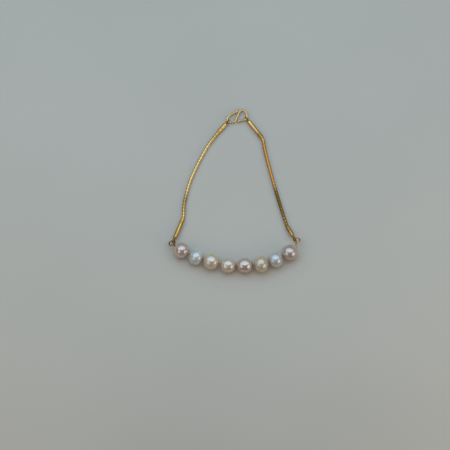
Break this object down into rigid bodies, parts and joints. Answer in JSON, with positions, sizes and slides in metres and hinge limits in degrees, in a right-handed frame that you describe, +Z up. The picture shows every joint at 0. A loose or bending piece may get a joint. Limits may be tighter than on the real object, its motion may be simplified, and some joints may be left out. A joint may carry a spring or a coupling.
{
  "type": "pearl bracelet",
  "caption": "Bracelet of drilled freshwater pearls on a wire, closed by gold snake-chain strands with tubular end caps that meet in an S-shaped hook.",
  "frame": {"origin": "under the middle of the loop as it lies flat, on the plane that it rests on", "axes": "+Y from the pearl row to the hook, +X to the right seen from above with the hook at the top, +Z up"},
  "size_m": [0.056, 0.0718, 0.0072],
  "materials": {
    "gold": "polished yellow gold",
    "nacre_mauve": "lustrous mauve-pink nacre",
    "nacre_white": "lustrous silver-white nacre",
    "nacre_peach": "lustrous peach nacre",
    "nacre_cream": "lustrous golden cream nacre"
  },
  "bodies": {
    "root": {"pearl_1": "nacre_mauve", "pearl_2": "nacre_white", "pearl_3": "nacre_peach", "pearl_4": "nacre_peach", "pearl_5": "nacre_mauve", "pearl_6": "nacre_cream", "pearl_7": "nacre_white", "pearl_8": "nacre_mauve", "pearl_wire": "gold", "left_jump_ring": "gold", "left_upper_cap": "gold", "left_lower_cap": "gold", "left_strand": "gold", "right_jump_ring": "gold", "right_upper_cap": "gold", "right_lower_cap": "gold", "right_strand": "gold", "s_hook": "gold"}
  },
  "joints": []
}
